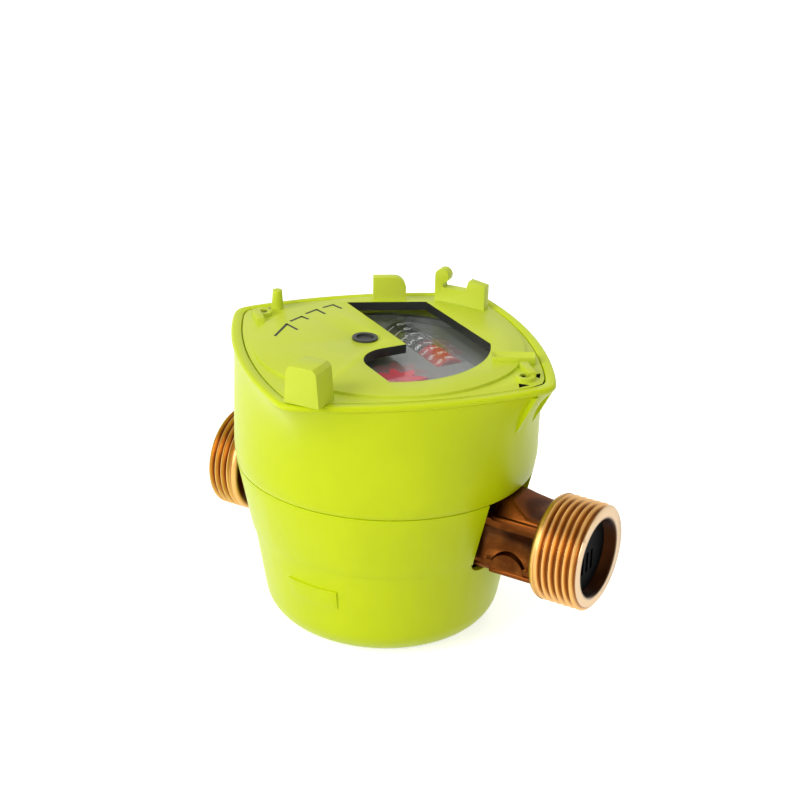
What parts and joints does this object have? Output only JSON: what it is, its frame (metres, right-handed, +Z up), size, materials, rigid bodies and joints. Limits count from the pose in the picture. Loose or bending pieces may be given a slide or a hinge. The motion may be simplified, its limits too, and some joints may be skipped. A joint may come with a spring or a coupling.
{
  "type": "water meter",
  "caption": "Domestic rotary-piston water meter: brass body with threaded pipe ends, lime-green moulded shroud and a sealed number register under a shaped window.",
  "frame": {"origin": "middle of the flat base, under the register axis", "axes": "+Z up along the register axis, +X along the pipe out of the inlet end"},
  "size_m": [0.106, 0.0908, 0.0809],
  "materials": {
    "brass": "cast and turned bronze-coloured brass, satin",
    "lime_plastic": "moulded lime-green plastic, satin gloss",
    "strainer_plastic": "black moulded plastic",
    "chamber_plastic": "pale moulded plastic",
    "piston_plastic": "dark graphite-filled plastic",
    "steel": "bright stainless steel",
    "rubber": "black rubber",
    "magnet": "dark sintered magnet",
    "can_metal": "drawn can, satin",
    "works_brass": "machined clock brass",
    "dial_plastic": "dark grey dial plate",
    "black_drum": "black number drum with white digits",
    "red_drum": "red number drum with white digits",
    "star_red": "translucent red moulded plastic",
    "pane_glass": "clear window pane",
    "plug_grey": "grey plug in a dark ring"
  },
  "bodies": {
    "meter": {"meter_body": "brass", "inlet_strainer": "strainer_plastic", "chamber_cup": "chamber_plastic", "chamber_seal": "rubber", "division_plate": "steel", "chamber_cover": "chamber_plastic", "plate_seal": "rubber", "pressure_plate": "chamber_plastic", "locking_ring": "brass", "lower_shroud": "lime_plastic", "upper_shroud": "lime_plastic", "register_can": "can_metal", "gear_plate": "works_brass", "drum_frame": "works_brass", "drum_axle": "steel", "dial_plate": "dial_plastic", "register_screws": "steel", "window_pane": "pane_glass", "port_plug": "plug_grey", "top_plate": "lime_plastic"},
    "drive": {"drive_dog": "steel", "drive_magnet": "magnet"},
    "piston": {"rotary_piston": "piston_plastic"},
    "input": {"input_arbor": "works_brass", "follower_magnet": "magnet"},
    "star": {"star_arbor": "works_brass", "flow_star": "star_red"},
    "drum_body_1": {"drum_1": "black_drum"},
    "drum_body_2": {"drum_2": "black_drum"},
    "drum_body_3": {"drum_3": "black_drum"},
    "drum_body_4": {"drum_4": "black_drum"},
    "drum_body_5": {"drum_5": "black_drum"},
    "drum_body_6": {"drum_6": "red_drum"},
    "drum_body_7": {"drum_7": "red_drum"},
    "drum_body_8": {"drum_8": "red_drum"}
  },
  "joints": [
    {"name": "drive_spin", "type": "hinge", "parent": "meter", "child": "drive", "pos_m": [0, 0, 0.04], "axis": [0, 0, 1], "continuous": true},
    {"name": "piston_orbit", "type": "hinge", "parent": "drive", "child": "piston", "pos_m": [0.0035, 0, 0.0305], "axis": [0, 0, 1], "continuous": true},
    {"name": "input_spin", "type": "hinge", "parent": "meter", "child": "input", "pos_m": [0, 0, 0.055], "axis": [0, 0, 1], "continuous": true},
    {"name": "star_spin", "type": "hinge", "parent": "meter", "child": "star", "pos_m": [0.00803, -0.00823, 0.059], "axis": [0, 0, 1], "continuous": true},
    {"name": "drum_8_spin", "type": "hinge", "parent": "meter", "child": "drum_body_8", "pos_m": [0.01089, 0.01051, 0.0628], "axis": [0.8599, -0.5105, 0], "continuous": true},
    {"name": "drum_7_spin", "type": "hinge", "parent": "meter", "child": "drum_body_7", "pos_m": [0.0078, 0.01235, 0.0628], "axis": [0.8599, -0.5105, 0], "continuous": true},
    {"name": "drum_6_spin", "type": "hinge", "parent": "meter", "child": "drum_body_6", "pos_m": [0.0047, 0.01419, 0.0628], "axis": [0.8599, -0.5105, 0], "continuous": true},
    {"name": "drum_5_spin", "type": "hinge", "parent": "meter", "child": "drum_body_5", "pos_m": [0.00161, 0.01603, 0.0628], "axis": [0.8599, -0.5105, 0], "continuous": true},
    {"name": "drum_4_spin", "type": "hinge", "parent": "meter", "child": "drum_body_4", "pos_m": [-0.00149, 0.01786, 0.0628], "axis": [0.8599, -0.5105, 0], "continuous": true},
    {"name": "drum_3_spin", "type": "hinge", "parent": "meter", "child": "drum_body_3", "pos_m": [-0.00458, 0.0197, 0.0628], "axis": [0.8599, -0.5105, 0], "continuous": true},
    {"name": "drum_2_spin", "type": "hinge", "parent": "meter", "child": "drum_body_2", "pos_m": [-0.00768, 0.02154, 0.0628], "axis": [0.8599, -0.5105, 0], "continuous": true},
    {"name": "drum_1_spin", "type": "hinge", "parent": "meter", "child": "drum_body_1", "pos_m": [-0.01077, 0.02338, 0.0628], "axis": [0.8599, -0.5105, 0], "continuous": true}
  ],
  "couplings": [
    {"joint": "piston_orbit", "follows": "drive_spin", "ratio": -1},
    {"joint": "input_spin", "follows": "drive_spin", "ratio": 1},
    {"joint": "star_spin", "follows": "drive_spin", "ratio": -0.35294},
    {"joint": "drum_8_spin", "follows": "drive_spin", "ratio": -0.0011111},
    {"joint": "drum_7_spin", "follows": "drive_spin", "ratio": -0.00011111},
    {"joint": "drum_6_spin", "follows": "drive_spin", "ratio": -0.000011111},
    {"joint": "drum_5_spin", "follows": "drive_spin", "ratio": -0.0000011111},
    {"joint": "drum_4_spin", "follows": "drive_spin", "ratio": -0.00000011111},
    {"joint": "drum_3_spin", "follows": "drive_spin", "ratio": -0.000000011111},
    {"joint": "drum_2_spin", "follows": "drive_spin", "ratio": -0.0000000011111},
    {"joint": "drum_1_spin", "follows": "drive_spin", "ratio": -0.00000000011111}
  ]
}
